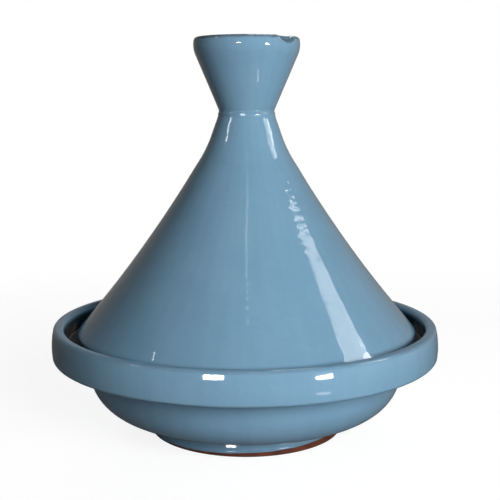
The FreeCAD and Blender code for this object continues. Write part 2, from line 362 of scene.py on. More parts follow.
# %% Turn the profile
def spin(tree, profile, turns, loops_back):
    """The grid wrapped round the wheel's axis, with the profile's numbers stored on it."""
    points = add(tree, "GeometryNodeAttributeDomainSize", {0: profile}).outputs["Point Count"]
    rows = calc(tree, "ADD", points, loops_back)
    columns = calc(tree, "ADD", turns, 1.0)
    grid = add(tree, "GeometryNodeMeshGrid", {"Vertices X": columns, "Vertices Y": rows})
    index = add(tree, "GeometryNodeInputIndex").outputs[0]
    row = calc(tree, "MODULO", calc(tree, "MODULO", index, rows), points)
    column = calc(tree, "FLOOR", calc(tree, "DIVIDE", index, rows))
    angle = calc(tree, "MULTIPLY", calc(tree, "DIVIDE", column, turns), math.tau)

    def look_up(value, data_type):
        inputs = {0: profile, "Value": value, "Index": row}
        return add(tree, "GeometryNodeSampleIndex", inputs, data_type=data_type).outputs[0]

    def look_up_number(label):
        return look_up(named_number(tree, label), "FLOAT")

    place = look_up(add(tree, "GeometryNodeInputPosition").outputs[0], "FLOAT_VECTOR")
    place = add(tree, "ShaderNodeSeparateXYZ", {0: place})
    cosine = calc(tree, "COSINE", angle)
    sine = calc(tree, "SINE", angle)
    along = look_up_number("along")
    geometry = grid.outputs["Mesh"]
    for label in ("bend", "hollow", "seen"):
        inputs = {0: geometry, "Name": label, "Value": look_up_number(label)}
        store = add(tree, "GeometryNodeStoreNamedAttribute", inputs, data_type="FLOAT")
        geometry = store.outputs[0]
    wheel = add(tree, "ShaderNodeCombineXYZ", {0: cosine, 1: sine, 2: along}).outputs[0]
    inputs = {0: geometry, "Name": "wheel", "Value": wheel}
    store = add(tree, "GeometryNodeStoreNamedAttribute", inputs, data_type="FLOAT_VECTOR")
    x = calc(tree, "MULTIPLY", place.outputs[0], cosine)
    y = calc(tree, "MULTIPLY", place.outputs[0], sine)
    spot = add(tree, "ShaderNodeCombineXYZ", {0: x, 1: y, 2: place.outputs[2]}).outputs[0]
    turned = add(tree, "GeometryNodeSetPosition", {0: store.outputs[0], "Position": spot})
    merged = add(tree, "GeometryNodeMergeByDistance", {0: turned.outputs[0], "Distance": WELD})
    return merged.outputs[0]


# %% [markdown]
# ## The hand: ovalness, wobble and a lifted edge
# Wet clay is never perfectly round. The whole pot is a hair oval, the wall wanders by a few
# tenths of a millimetre, the dish and the lid lean slightly, the lid's edge dried with one
# side raised, and the foot stands a little wider than the measured one. All pieces of a half
# get the same warp, so the glaze stays on its clay.

# %% Warp the turned shape
LIFT_FADES_FROM = 5 * MM
LIFT_FADES_TO = 80 * MM
SPLAY_ABOVE_FOOT = 4 * MM


def move(tree, geometry, offset):
    """The geometry with each point shifted by offset."""
    return add(tree, "GeometryNodeSetPosition", {0: geometry, "Offset": offset}).outputs[0]


def vector_of(tree, x=0.0, y=0.0, z=0.0):
    """A vector from three numbers."""
    return add(tree, "ShaderNodeCombineXYZ", {0: x, 1: y, 2: z}).outputs[0]


def warp(tree, geometry, values):
    """The drying warp. It changes no height at the table, so the foot still stands flat."""
    position = add(tree, "GeometryNodeInputPosition").outputs[0]
    parts = add(tree, "ShaderNodeSeparateXYZ", {0: position})
    x, y, z = parts.outputs
    off_table = ramp(tree, z, 0.0, foot_top)
    wander = calc_vector(tree, "SUBTRACT", noise(tree, position, values["Wobble scale"], 1.0, "Color"),
                         (0.5, 0.5, 0.5))
    wander = calc_vector(tree, "MULTIPLY", wander, (1.0, 1.0, 0.5))
    wander = scaled(tree, wander, calc(tree, "MULTIPLY", values["Wobble"], off_table))
    oval = vector_of(tree, calc(tree, "MULTIPLY", x, values["Ovalness"]),
                     calc(tree, "MULTIPLY", y, calc(tree, "MULTIPLY", values["Ovalness"], -1.0)))
    lean = vector_of(tree, calc(tree, "MULTIPLY", z, values["Lean"]))
    radius = calc(tree, "SQRT", calc(tree, "ADD", calc(tree, "MULTIPLY", x, x),
                                     calc(tree, "MULTIPLY", y, y)))
    toward_right = calc(tree, "DIVIDE", x, calc(tree, "MAXIMUM", radius, MM))
    lifted_side = calc(tree, "MULTIPLY_ADD", toward_right, 0.5, 0.5)
    near_edge = ramp(tree, z, lid_edge + LIFT_FADES_FROM, lid_edge + LIFT_FADES_TO, 1.0, 0.0)
    lift = calc(tree, "MULTIPLY", calc(tree, "MULTIPLY", lifted_side, near_edge), values["Edge lift"])
    total = calc_vector(tree, "ADD", calc_vector(tree, "ADD", wander, oval), lean)
    total = calc_vector(tree, "ADD", total, vector_of(tree, z=lift))
    near_table = ramp(tree, z, 0.0, foot_top + SPLAY_ABOVE_FOOT, 1.0, 0.0)
    splay = calc(tree, "MULTIPLY", near_table, values["Foot splay"])
    total = calc_vector(tree, "ADD", total, scaled(tree, vector_of(tree, x, y), splay))
    return move(tree, geometry, total)


# %% [markdown]
# ## The thumb notch in the knob
# The potter pressed the soft rim of the knob down at one place. The measured model has that
# notch cut as a plain groove. Here the rim is pushed down instead: the depth follows a
# parabola across the notch, softened where it runs out, and fades down the wall and towards
# the axis, so the clay and both faces of its glaze bend together. The dent also adds to the
# hollow number, so the glaze darkens there: partly pooled glaze, partly a painted dark
# reflection.

# %% Press the notch
NOTCH_AZIMUTH = math.radians(50)
NOTCH_HALF_WIDTH = 9.5 * MM
NOTCH_SOFTNESS = 0.2
NOTCH_FADES_FROM = 1 * MM
NOTCH_FADES_TO = 11 * MM
NOTCH_LIP_INNER = 5.5 * MM
NOTCH_LIP_OUTER = 1 * MM
NOTCH_INSIDE = 0.12
# Where the dent darkens the glaze: partly pooled glaze, partly a painted dark reflection.
NOTCH_POOL_AND_REFLECTION = 2.5 * MM
DENT_DARK_TOP = 1.6 * MM
DENT_DARK_END = 3.2 * MM


def press_notch(tree, geometry, values):
    """The outer lip of the knob pressed down at one place, with glaze pooled in the dent."""
    position = add(tree, "GeometryNodeInputPosition").outputs[0]
    outward = (math.sin(NOTCH_AZIMUTH), -math.cos(NOTCH_AZIMUTH), 0.0)
    sideways = (math.cos(NOTCH_AZIMUTH), math.sin(NOTCH_AZIMUTH), 0.0)
    across = calc_vector(tree, "DOT_PRODUCT", position, sideways)
    on_side = calc(tree, "GREATER_THAN", calc_vector(tree, "DOT_PRODUCT", position, outward), 0.0)
    share = calc(tree, "DIVIDE", across, NOTCH_HALF_WIDTH)
    share = calc(tree, "SUBTRACT", 1.0, calc(tree, "MULTIPLY", share, share))
    share = calc(tree, "SMOOTH_MAX", share, 0.0, NOTCH_SOFTNESS)
    height = add(tree, "ShaderNodeSeparateXYZ", {0: position}).outputs[2]
    near_top = ramp(tree, height, knob_top - NOTCH_FADES_TO, knob_top - NOTCH_FADES_FROM)
    from_axis = calc_vector(tree, "LENGTH", calc_vector(tree, "MULTIPLY", position, (1.0, 1.0, 0.0)))
    outer_lip = ramp(tree, from_axis, knob_radius - NOTCH_LIP_INNER, knob_radius - NOTCH_LIP_OUTER,
                     NOTCH_INSIDE, 1.0)
    share = calc(tree, "MULTIPLY", calc(tree, "MULTIPLY", share, on_side), near_top)
    share = calc(tree, "MULTIPLY", share, outer_lip)
    depth = calc(tree, "MULTIPLY", share, values["Notch depth"])
    # The dent darkens the glaze through the hollow number: partly pooled glaze, partly a painted dark
    # reflection.
    hollow = named_number(tree, "hollow")
    in_dent = ramp(tree, height, knob_top - DENT_DARK_END, knob_top - DENT_DARK_TOP)
    dent_pool_and_reflection = calc(tree, "MULTIPLY", calc(tree, "DIVIDE", depth, NOTCH_POOL_AND_REFLECTION), in_dent)
    inputs = {0: geometry, "Name": "hollow", "Value": calc(tree, "ADD", hollow, dent_pool_and_reflection)}
    stored = add(tree, "GeometryNodeStoreNamedAttribute", inputs, data_type="FLOAT").outputs[0]
    return move(tree, stored, vector_of(tree, z=calc(tree, "MULTIPLY", depth, -1.0)))


# %% [markdown]
# ## Throwing rings
# A finger that climbs the wall of a spinning pot leaves a shallow spiral. Its depth is a
# tenth of a millimetre or less, yet a glossy glaze shows it at once, as waves along the
# edge of each highlight. The spiral is a sine of the length along the profile plus the
# angle, and a slow noise makes it come and go. A second noise swells the coat a little. Two
# thin ridges are added in the same step: one where the knob was joined to the cone, and the
# bead that melted glaze leaves above its lower end.

# %% Raise the rings
RING_STRAY = 9.0
JOINT_RIDGE_ABOVE = 3.9 * MM
JOINT_RIDGE_WIDTH = 1.1 * MM
BEAD_ABOVE = 0.9 * MM
BEAD_WIDTH = 0.9 * MM


def ridge(tree, z, height, width, rise):
    """A rounded ridge round the pot at one height."""
    away = calc(tree, "DIVIDE", calc(tree, "SUBTRACT", z, height), width)
    return calc(tree, "DIVIDE", rise, calc(tree, "EXPONENT", calc(tree, "MULTIPLY", away, away)))


def raise_rings(tree, geometry, values):
    """The spiral, the swell and the two ridges, raised on the side that is seen."""
    position = add(tree, "GeometryNodeInputPosition").outputs[0]
    cosine, sine, along = add(tree, "ShaderNodeSeparateXYZ", {0: named_vector(tree, "wheel")}).outputs
    seen = named_number(tree, "seen")
    angle = calc(tree, "ARCTAN2", sine, cosine)
    phase = calc(tree, "MULTIPLY", calc(tree, "DIVIDE", along, values["Ring pitch"]), math.tau)
    stray = calc(tree, "MULTIPLY", noise(tree, position, 14.0), RING_STRAY)
    spiral = calc(tree, "SINE", calc(tree, "ADD", calc(tree, "ADD", phase, angle), stray))
    come_and_go = ramp(tree, noise(tree, position, 22.0), 0.38, 0.66, 0.2, 1.0)
    height = calc(tree, "MULTIPLY", calc(tree, "MULTIPLY", spiral, come_and_go), values["Ring depth"])
    swell = calc(tree, "MULTIPLY_ADD", noise(tree, position, 38.0, 1.0), 2.0, -1.0)
    height = calc(tree, "MULTIPLY_ADD", swell, values["Swell"], height)
    z = add(tree, "ShaderNodeSeparateXYZ", {0: position}).outputs[2]
    for middle, width, rise in (
        (joint_height + JOINT_RIDGE_ABOVE, JOINT_RIDGE_WIDTH, values["Joint ridge"]),
        (foot_line + BEAD_ABOVE, BEAD_WIDTH, values["Bead"]),
    ):
        height = calc(tree, "ADD", height, ridge(tree, z, middle, width, rise))
    normal = add(tree, "GeometryNodeInputNormal").outputs[0]
    return move(tree, geometry, scaled(tree, normal, calc(tree, "MULTIPLY", height, seen)))


# %% [markdown]
# ## The glaze line on the foot
# Before firing, the foot is wiped clean of glaze, or it would stick to the kiln shelf. The
# wiped line is never level: here it climbs towards the right, so more bare clay shows there.
# The lower end of the coat is raised or lowered round the foot, and the change fades out
# where the foot meets the bowl.

# %% Wave the glaze line
def wave_glaze_line(tree, geometry, values):
    """The lower end of the coat, raised to one side and made ragged."""
    position = add(tree, "GeometryNodeInputPosition").outputs[0]
    climb = calc_vector(tree, "DOT_PRODUCT", named_vector(tree, "wheel"), values["Line climb"])
    ragged = calc(tree, "MULTIPLY_ADD", noise(tree, position, 45.0), 2.0, -1.0)
    wave = calc(tree, "MULTIPLY_ADD", ragged, values["Line raggedness"], climb)
    height = add(tree, "ShaderNodeSeparateXYZ", {0: position}).outputs[2]
    low = ramp(tree, height, foot_line + 0.2 * MM, foot_top - 0.5 * MM, 1.0, 0.0)
    return move(tree, geometry, vector_of(tree, z=calc(tree, "MULTIPLY", wave, low)))


# %% [markdown]
# ## One tree for every piece
# The steps are joined into one tree with a named input for each amount. An amount of zero
# leaves that step out, so the foot ring and the glaze coats use the same tree. Edges that
# bend sharply are marked sharp, everything else is shaded smooth, and the tree ends in
# Realize Instances and Set Material.

# %% Build the tree
SHARP_EDGE = math.radians(50)
AMOUNTS = {
    "Turns": 188.0,
    "Loops back": 0.0,
    "Ovalness": 0.0012,
    "Wobble": 0.9 * MM,
    "Wobble scale": 9.0,
    "Lean": 0.0,
    "Edge lift": 0.0,
    "Foot splay": 0.0,
    "Notch depth": 0.0,
    "Ring depth": 0.0,
    "Ring pitch": 5.0 * MM,
    "Swell": 0.0,
    "Joint ridge": 0.0,
    "Bead": 0.0,
    "Line raggedness": 0.0,
}


def make_wheel():
    """The node tree that turns a profile into a finished piece."""
    tree = bpy.data.node_groups.new("turned on the wheel", "GeometryNodeTree")
    tree.interface.new_socket("Geometry", in_out="INPUT", socket_type="NodeSocketGeometry")
    for label, amount in AMOUNTS.items():
        socket = tree.interface.new_socket(label, in_out="INPUT", socket_type="NodeSocketFloat")
        socket.default_value = amount
    tree.interface.new_socket("Line climb", in_out="INPUT", socket_type="NodeSocketVector")
    tree.interface.new_socket("Finish", in_out="INPUT", socket_type="NodeSocketMaterial")
    tree.interface.new_socket("Geometry", in_out="OUTPUT", socket_type="NodeSocketGeometry")
    values = add(tree, "NodeGroupInput").outputs
    geometry = spin(tree, values["Geometry"], values["Turns"], values["Loops back"])
    for step in (raise_rings, wave_glaze_line, press_notch, warp):
        geometry = step(tree, geometry, values)
    smooth = add(tree, "GeometryNodeSetShadeSmooth", {0: geometry, "Shade Smooth": True})
    bent = add(tree, "GeometryNodeInputMeshEdgeAngle").outputs["Unsigned Angle"]
    soft = calc(tree, "LESS_THAN", bent, SHARP_EDGE)
    smooth = add(tree, "GeometryNodeSetShadeSmooth", {0: smooth.outputs[0], "Shade Smooth": soft},
                 domain="EDGE")
    real = add(tree, "GeometryNodeRealizeInstances", {0: smooth.outputs[0]})
    coated = add(tree, "GeometryNodeSetMaterial", {0: real.outputs[0], "Material": values["Finish"]})
    add(tree, "NodeGroupOutput", {0: coated.outputs[0]})
    return tree


wheel_tree = make_wheel()
wheel_inputs = {
    item.name: item.identifier
    for item in wheel_tree.interface.items_tree if item.in_out == "INPUT"
}
print("tree inputs:", sorted(wheel_inputs))

# %% [markdown]
# ## The glaze
# The glaze is a glassy layer about half a millimetre thick. Its colour is a pale steel blue
# that clouds a little, runs down the wall in faint streaks, thins to dark grey on edges, and
# darkens in hollows. The grey on edges is partly thin glaze and, mostly on the lid, painted
# shade and dark reflection. The darkening in hollows is partly pooled glaze and partly
# painted shade. The narrow trough between the dish's rim and the lid, down to the ledge that
# the lid sits on, is painted nearly black as painted shade, and it stays black when the lid
# is raised. Iron in the clay comes through as a few dark specks. The surface is smooth as
# glass but not flat: a fine ripple frays the highlights on the cone, and far less on the knob
# and the dish. The colour could be one flat blue, but then the edges would look like plastic,
# so these effects are mixed in from the bend and the place on the pot.

# %% Glaze and clay colours
GLAZE_BLUE = (0.178, 0.340, 0.485, 1.0)
GLAZE_PALE = (0.200, 0.365, 0.510, 1.0)
# The pool colour is partly pooled glaze and partly painted shade.
GLAZE_POOL_AND_SHADE = (0.055, 0.125, 0.185, 1.0)
# Painted shade for the trough between the dish's rim and the lid.
TROUGH_PAINTED_SHADE = (0.012, 0.022, 0.030, 1.0)
# The thin colour is partly thin glaze and partly painted shade and dark reflection.
GLAZE_THIN_AND_DARK_REFLECTION = (0.085, 0.090, 0.095, 1.0)
IRON_SPECK = (0.030, 0.032, 0.034, 1.0)
CLAY_RED = (0.150, 0.042, 0.021, 1.0)
CLAY_DARK = (0.080, 0.026, 0.017, 1.0)
CLAY_PALE = (0.260, 0.105, 0.058, 1.0)


def new_material(name, slot_colour):
    """An empty material and its node tree."""
    material = bpy.data.materials.new(name)
    material.use_nodes = True
    material.diffuse_color = slot_colour
    tree = material.node_tree
    tree.nodes.clear()
    return material, tree


def blend_colours(tree, factor, first, second):
    """The first colour at a factor of 0, the second at 1."""
    node = add(tree, "ShaderNodeMix", {0: factor, 6: first, 7: second}, data_type="RGBA")
    return node.outputs[2]


def attribute(tree, label, output):
    """A number or vector that the mesh carries, read by its material."""
    return add(tree, "ShaderNodeAttribute", attribute_name=label).outputs[output]


def specks(tree, place, per_metre, share, size):
    """1 inside round specks. share is the share of cells that hold one, size its radius."""
    cell = add(tree, "ShaderNodeTexVoronoi", {"Vector": place, "Scale": per_metre})
    chosen = calc(tree, "LESS_THAN",
                  add(tree, "ShaderNodeSeparateColor", {0: cell.outputs["Color"]}).outputs[0], share)
    reach = size * per_metre
    dot = ramp(tree, cell.outputs["Distance"], 0.5 * reach, reach, 1.0, 0.0)
    return calc(tree, "MULTIPLY", dot, chosen)


# %% The glaze material
GLAZE_GLOSS = 0.045
# The next six numbers place the painted shade in the trough inside the dish's rim, down to the ledge.
RIM_WALL = 7 * MM
TROUGH_SHADE_STRENGTH = 1.1
TROUGH_ENDS_BELOW_RIM = 2 * MM
TROUGH_DARK_BELOW_RIM = 6 * MM
LEDGE_DARK_BELOW_LID = 5 * MM
LEDGE_ENDS_BELOW_LID = 7 * MM
RIPPLE_ON_KNOB = 0.2
WALL_RADIUS = 0.1


def make_glaze(name, ripple, peel, pool_and_shade_share, thin_glaze_and_reflection_share):
    """ripple and peel are the depths in metres of the ripple and of the finer orange peel.

    The last two numbers are how far hollows darken, with pooled glaze and painted shade, and
    edges turn grey, with thin glaze and, on the lid, painted shade and dark reflection, from 0
    to 1. The first of the two also sets the painted shade in the trough.
    """
    material, tree = new_material(name, GLAZE_BLUE)
    place = add(tree, "ShaderNodeTexCoord").outputs["Object"]
    bend = attribute(tree, "bend", "Fac")
    wheel = attribute(tree, "wheel", "Vector")
    on_wall = calc_vector(tree, "MULTIPLY", wheel, (WALL_RADIUS, WALL_RADIUS, 1.0))
    clouds = noise(tree, place, 26.0, 4.0)
    fine_clouds = noise(tree, place, 240.0, 3.0)
    streaks = noise(tree, calc_vector(tree, "MULTIPLY", wheel, (WALL_RADIUS, WALL_RADIUS, 0.06)),
                    150.0, 3.0)
    mottle = calc(tree, "ADD", calc(tree, "MULTIPLY", clouds, 0.5), calc(tree, "MULTIPLY", streaks, 0.3))
    mottle = calc(tree, "MULTIPLY_ADD", fine_clouds, 0.2, mottle)
    colour = blend_colours(tree, ramp(tree, mottle, 0.36, 0.64), GLAZE_BLUE, GLAZE_PALE)
    # Hollows darken: partly pooled glaze, partly painted shade.
    hollow_pool_and_shade = ramp(tree, attribute(tree, "hollow", "Fac"), 0.05, 0.75, 0.0, pool_and_shade_share)
    colour = blend_colours(tree, hollow_pool_and_shade, colour, GLAZE_POOL_AND_SHADE)
    x, y, z = add(tree, "ShaderNodeSeparateXYZ", {0: place}).outputs
    # Painted shade: the trough inside the dish's rim, from below its top down to the ledge under the
    # lid, is painted nearly black.
    radius = calc(tree, "SQRT", calc(tree, "MULTIPLY_ADD", x, x, calc(tree, "MULTIPLY", y, y)))
    inside_rim = ramp(tree, radius, rim_radius - RIM_WALL - 1 * MM, rim_radius - RIM_WALL, 1.0, 0.0)
    under_lip = ramp(tree, z, rim_height - TROUGH_DARK_BELOW_RIM, rim_height - TROUGH_ENDS_BELOW_RIM,
                     TROUGH_SHADE_STRENGTH * pool_and_shade_share, 0.0)
    on_ledge = ramp(tree, z, lid_edge - LEDGE_ENDS_BELOW_LID, lid_edge - LEDGE_DARK_BELOW_LID)
    trough_painted_shade = calc(tree, "MULTIPLY", calc(tree, "MULTIPLY", inside_rim, under_lip), on_ledge)
    colour = blend_colours(tree, trough_painted_shade, colour, TROUGH_PAINTED_SHADE)
    # Edges turn grey: partly thin glaze, partly painted shade and dark reflection on the lid's edges.
    edge_thin_and_reflection_measure = calc(tree, "MULTIPLY_ADD", calc(tree, "SUBTRACT", fine_clouds, 0.5), 0.5, bend)
    edge_thin_and_reflection_measure = calc(tree, "MULTIPLY_ADD", calc(tree, "SUBTRACT", clouds, 0.5), 0.5, edge_thin_and_reflection_measure)
    thin_glaze_and_reflection = ramp(tree, edge_thin_and_reflection_measure, 0.65, 1.25, 0.0, thin_glaze_and_reflection_share)
    colour = blend_colours(tree, thin_glaze_and_reflection, colour, GLAZE_THIN_AND_DARK_REFLECTION)
    iron = calc(tree, "MAXIMUM", specks(tree, place, 70.0, 0.10, 0.35 * MM),
                specks(tree, place, 28.0, 0.12, 0.5 * MM))
    colour = blend_colours(tree, calc(tree, "MULTIPLY", iron, 0.75), colour, IRON_SPECK)
    wavy = calc_vector(tree, "MULTIPLY", on_wall, (0.3, 0.3, 1.15))
    ripples = noise(tree, wavy, 190.0, 0.0)
    orange_peel = noise(tree, place, 700.0, 1.0)
    pinholes = specks(tree, place, 110.0, 0.07, 0.22 * MM)
    on_cone = ramp(tree, z, joint_height, joint_height + 10 * MM, 1.0, RIPPLE_ON_KNOB)
    height = calc(tree, "MULTIPLY", calc(tree, "MULTIPLY", ripples, on_cone), ripple / MM)
    height = calc(tree, "MULTIPLY_ADD", orange_peel, peel / MM, height)
    height = calc(tree, "MULTIPLY_ADD", pinholes, -0.05, height)
    bump = add(tree, "ShaderNodeBump", {"Height": height, "Distance": MM, "Strength": 1.0})
    rough = ramp(tree, fine_clouds, 0.3, 0.7, GLAZE_GLOSS, GLAZE_GLOSS + 0.02)
    rough = calc(tree, "MULTIPLY_ADD", thin_glaze_and_reflection, 0.10, rough)
    shader = add(tree, "ShaderNodeBsdfPrincipled", {
        "Base Color": colour, "Roughness": rough, "IOR": 1.5, "Normal": bump.outputs[0],
    })
    add(tree, "ShaderNodeOutputMaterial", {"Surface": shader.outputs[0]})
    return material


# The third number darkens hollows and the trough with painted shade as well as pooled glaze; the fourth
# greys edges, on the lid also as painted shade and dark reflection.
dish_glaze_finish = make_glaze("blue_glaze_dish", 0.006 * MM, 0.0010 * MM, 0.85, 0.25)
lid_glaze_finish = make_glaze("blue_glaze_lid", 0.150 * MM, 0.0005 * MM, 0.30, 0.80)
print("glazes:", dish_glaze_finish.name, lid_glaze_finish.name)

# %% [markdown]
# ## The bare clay
# Where the foot was wiped, the fired red clay shows. It is matt and sandy: pale grains of
# grog, dark iron grains, fine lines from the turning tool, and a darker toasted band close
# under the glaze, where the flux soaked in.

# %% The terracotta material
def make_terracotta():
    """The bare clay's material."""
    material, tree = new_material("terracotta_clay", CLAY_RED)
    place = add(tree, "ShaderNodeTexCoord").outputs["Object"]
    height_on_pot = add(tree, "ShaderNodeSeparateXYZ", {0: place}).outputs[2]
    patches = noise(tree, place, 60.0, 4.0)
    grain = noise(tree, place, 1500.0, 3.0)
    colour = blend_colours(tree, ramp(tree, patches, 0.35, 0.65), CLAY_DARK, CLAY_RED)
    toasted = ramp(tree, height_on_pot, 1.0 * MM, foot_top, 0.0, 0.45)
    colour = blend_colours(tree, toasted, colour, CLAY_DARK)
    grog = specks(tree, place, 700.0, 0.16, 0.35 * MM)
    colour = blend_colours(tree, calc(tree, "MULTIPLY", grog, 0.55), colour, CLAY_PALE)
    iron = specks(tree, place, 520.0, 0.08, 0.30 * MM)
    colour = blend_colours(tree, calc(tree, "MULTIPLY", iron, 0.6), colour, IRON_SPECK)
    stretched = calc_vector(tree, "MULTIPLY", place, (0.06, 0.06, 1.0))
    tool_lines = noise(tree, stretched, 1400.0, 2.0)
    relief = calc(tree, "MULTIPLY", grain, 0.05)
    relief = calc(tree, "MULTIPLY_ADD", tool_lines, 0.06, relief)
    relief = calc(tree, "MULTIPLY_ADD", grog, 0.04, relief)
    bump = add(tree, "ShaderNodeBump", {"Height": relief, "Distance": MM, "Strength": 1.0})
    rough = ramp(tree, grain, 0.3, 0.7, 0.72, 0.92)
    shader = add(tree, "ShaderNodeBsdfPrincipled", {
        "Base Color": colour, "Roughness": rough, "IOR": 1.45, "Normal": bump.outputs[0],
    })
    shader.inputs["Specular IOR Level"].default_value = 0.3
    add(tree, "ShaderNodeOutputMaterial", {"Surface": shader.outputs[0]})
    return material


clay_finish = make_terracotta()
print("clay:", clay_finish.name)

# %% [markdown]
# ## Turning the seven pieces
# The potter made four pieces of clay, a bowl, a foot ring, a cone and a knob, and the dips in
# glaze add three coats. Each keeps its own mesh, takes the place of the measured piece, and
# moves with the half of the pot that it belongs to. The finished mesh is read from the
# evaluated object, so the modifier and its tree are no longer needed by it.

# %% Turn the pieces
DISH_LEAN = -0.011
FOOT_SPLAY = 0.035
LID_LEAN = 0.002
LID_LIFT = 1.4 * MM
NOTCH_DEPTH = 3.6 * MM
DISH = {"Lean": DISH_LEAN, "Foot splay": FOOT_SPLAY}
LID = {"Lean": LID_LEAN, "Edge lift": LID_LIFT, "Notch depth": NOTCH_DEPTH}
COAT = {"Ring depth": 0.02 * MM, "Swell": 0.05 * MM}
JOINT = {"Joint ridge": 0.5 * MM}
FOOT_LINE = {"Bead": 0.3 * MM, "Line climb": (2.0 * MM, 0.6 * MM, 0.0), "Line raggedness": 0.45 * MM}

PIECES = [
    # name, measured node, body, material slot, finish, side of a coat that shows, amounts
    ("dish_bowl_clay", "dish_bowl", "dish", "terracotta", clay_finish, None, DISH),
    ("dish_foot_clay", "dish_foot_ring", "dish", "terracotta", clay_finish, None, DISH),
    ("dish_glaze_coat", "dish_glaze", "dish", "blue_glaze", dish_glaze_finish, "upper",
     DISH | COAT | FOOT_LINE),
    ("lid_cone_clay", "lid_cone", "lid", "terracotta", clay_finish, None, LID),
    ("lid_knob_clay", "lid_knob", "lid", "terracotta", clay_finish, None, LID),
    ("lid_outside_glaze_coat", "lid_glaze_outside", "lid", "blue_glaze", lid_glaze_finish,
     "upper", LID | COAT | JOINT),
    ("lid_inside_glaze_coat", "lid_glaze_inside", "lid", "blue_glaze", lid_glaze_finish,
     "lower", LID | COAT),
]


def turn_piece(name, node_name, finish, shows, amounts):
    """One finished piece as a plain mesh object, from its profile and its amounts."""
    mesh, loop = profile_mesh(name + "_profile", node_name, shows)
    blank = bpy.data.objects.new(name + "_blank", mesh)
    bpy.context.scene.collection.objects.link(blank)
    modifier = blank.modifiers.new("wheel", "NODES")
    modifier.node_group = wheel_tree
    for label, amount in amounts.items():
        modifier[wheel_inputs[label]] = amount
    modifier[wheel_inputs["Loops back"]] = 1.0 if loop else 0.0
    modifier[wheel_inputs["Finish"]] = finish
    evaluated = blank.evaluated_get(bpy.context.evaluated_depsgraph_get())
    turned = bpy.data.meshes.new_from_object(evaluated)
    turned.name = name
    bpy.data.objects.remove(blank)
    bpy.data.meshes.remove(mesh)
    piece = bpy.data.objects.new(name, turned)
    bpy.context.scene.collection.objects.link(piece)
    return piece


def check_piece(piece):
    """The number of triangles, open edges and the volume in cubic centimetres."""
    shape = bmesh.new()
    shape.from_mesh(piece.data)
    triangles = sum(len(face.verts) - 2 for face in shape.faces)
    open_edges = sum(1 for edge in shape.edges if len(edge.link_faces) != 2)
    volume = shape.calc_volume(signed=True) * 1e6
    shape.free()
    return triangles, open_edges, volume


for name, node_name, body, slot_name, finish, shows, amounts in PIECES:
    piece = turn_piece(name, node_name, finish, shows, amounts)
    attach(piece, body)
    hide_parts(node_name)
    triangles, open_edges, volume = check_piece(piece)
    print(f"{name}: {triangles} triangles, {open_edges} open edges, {volume:.1f} cm3")

# %% [markdown]
# ## The table
# A disc stands for the table. It fades out with distance, so that no horizon shows behind the
# pot, and it is clear from below. Its glow is seen only directly and lights nothing, so the
# table looks pale while the shade under the bowl stays dark.

# %% The table
TABLE_RADIUS = 1.6
TABLE_FADES_FROM = 0.35
TABLE_FADES_TO = 1.0
TABLE_SIDES = 96
TABLE_GREY = (0.27, 0.27, 0.27, 1.0)
TABLE_GLOW = 0.86


def make_table():
    """The disc and its material."""
    shape = bmesh.new()
    bmesh.ops.create_circle(shape, cap_ends=True, segments=TABLE_SIDES, radius=TABLE_RADIUS)
    mesh = bpy.data.meshes.new("table")
    shape.to_mesh(mesh)
    shape.free()
    table = bpy.data.objects.new("table", mesh)
    bpy.context.scene.collection.objects.link(table)
    material, tree = new_material("pale_table", (0.8, 0.8, 0.8, 1.0))
    place = add(tree, "ShaderNodeTexCoord").outputs["Object"]
    away = calc_vector(tree, "LENGTH", place)
    from_below = add(tree, "ShaderNodeNewGeometry").outputs["Backfacing"]
    fade = calc(tree, "MAXIMUM", ramp(tree, away, TABLE_FADES_FROM, TABLE_FADES_TO), from_below)
    matt = add(tree, "ShaderNodeBsdfDiffuse", {"Color": TABLE_GREY})
    seen_directly = add(tree, "ShaderNodeLightPath").outputs["Is Camera Ray"]
    strength = calc(tree, "MULTIPLY", seen_directly, TABLE_GLOW)
    glow = add(tree, "ShaderNodeEmission", {"Strength": strength})
    both = add(tree, "ShaderNodeAddShader", {0: matt.outputs[0], 1: glow.outputs[0]})
    clear = add(tree, "ShaderNodeBsdfTransparent")
    mixed = add(tree, "ShaderNodeMixShader", {0: fade, 1: both.outputs[0], 2: clear.outputs[0]})
    add(tree, "ShaderNodeOutputMaterial", {"Surface": mixed.outputs[0]})
    mesh.materials.append(material)
    return table


table = make_table()
print(f"table: {2 * TABLE_RADIUS:.1f} m across, {len(table.data.vertices)} corners")

# %% [markdown]
# ## The room and the lamps
# A glossy pot is a mirror, so the light is planned by what each part of the wall reflects,
# and the shading is lit apart from the highlights. A key softbox at the front right and a
# wide fill behind the pot shade the form, and the gloss doesn't see them. Every other lamp
# is seen by the gloss only. Two low softboxes make the two bright bars on the dish's rim, and
# two gleams sit under them. A lamp on each side draws a streak at the neck, a small one on
# the left gives the spark low on the cone, and a strip overhead the faint line down its
# middle. A dim softbox hangs high behind the pot. High on the right a window with slats draws
# the pale band down the cone. The room is dim, darker overhead and lighter on the right and
# behind, so that the outline of the pot stays dark against the white background. The camera
# sees plain white in its place, and rays that aren't glossy get only a share of it.

# %% The room
ROOM_DIM = (0.120, 0.110, 0.102, 1.0)
ROOM_RIGHT = (0.36, 0.33, 0.30, 1.0)
ROOM_OVERHEAD = (0.030, 0.030, 0.030, 1.0)
ROOM_FILL = 0.45
ROOM_BEHIND = (0.250, 0.230, 0.210, 1.0)


